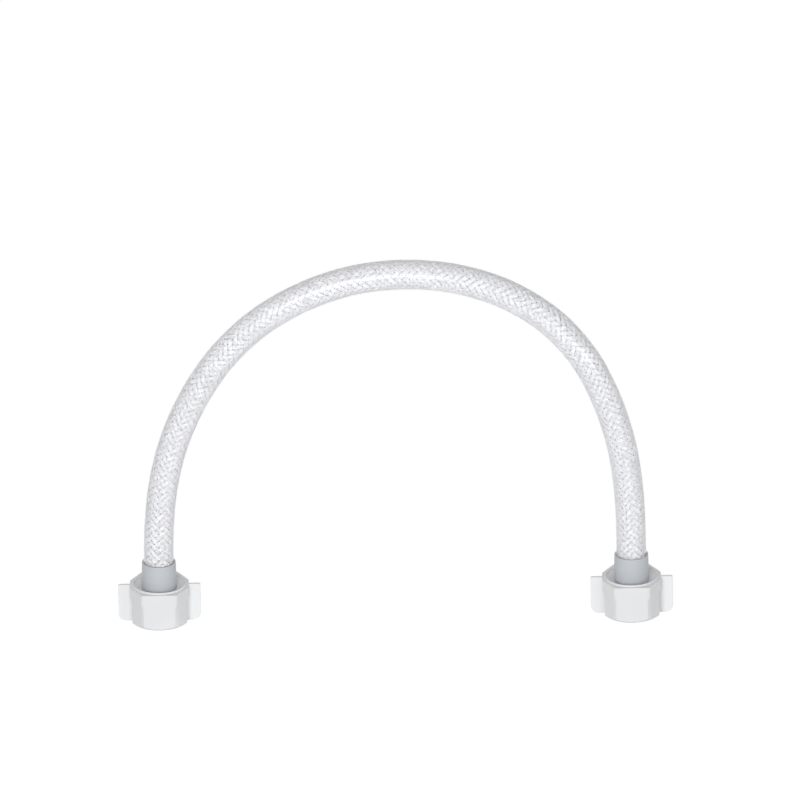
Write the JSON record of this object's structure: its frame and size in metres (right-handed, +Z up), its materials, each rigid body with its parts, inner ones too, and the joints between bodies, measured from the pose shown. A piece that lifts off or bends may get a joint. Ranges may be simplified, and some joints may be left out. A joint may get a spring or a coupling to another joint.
{
  "type": "flexible water supply hose",
  "caption": "Short clear braided water supply hose, bent in an arch, with a grey ferrule and a winged swivel coupling nut at each end.",
  "frame": {"origin": "midway between the two nuts, on the plane of their open mouths, which the part stands on", "axes": "+X from the left nut to the right one, +Z up through the top of the arch, -Y towards the viewer"},
  "size_m": [0.277, 0.0304, 0.1928],
  "materials": {
    "nut_plastic": "moulded pale grey plastic, satin",
    "ferrule_plastic": "moulded grey plastic, satin",
    "insert_plastic": "moulded pale plastic",
    "washer_rubber": "matt black rubber",
    "clear_pvc": "clear soft plastic, glossy",
    "braid_yarn": "white woven polyester yarn"
  },
  "bodies": {
    "hose_assembly": {"hose_liner": "clear_pvc", "braid_sleeve": "braid_yarn", "hose_jacket": "clear_pvc", "ferrule_a": "ferrule_plastic", "ferrule_b": "ferrule_plastic", "insert_a": "insert_plastic", "insert_b": "insert_plastic", "washer_a": "washer_rubber", "washer_b": "washer_rubber"},
    "nut_a": {"wing_nut_a": "nut_plastic"},
    "nut_b": {"wing_nut_b": "nut_plastic"}
  },
  "joints": [
    {"name": "nut_a_swivel", "type": "hinge", "parent": "hose_assembly", "child": "nut_a", "pos_m": [-0.118, 0, 0.0098], "axis": [0, 0, 1], "continuous": true},
    {"name": "nut_b_swivel", "type": "hinge", "parent": "hose_assembly", "child": "nut_b", "pos_m": [0.118, 0, 0.0098], "axis": [0, 0, 1], "continuous": true}
  ]
}
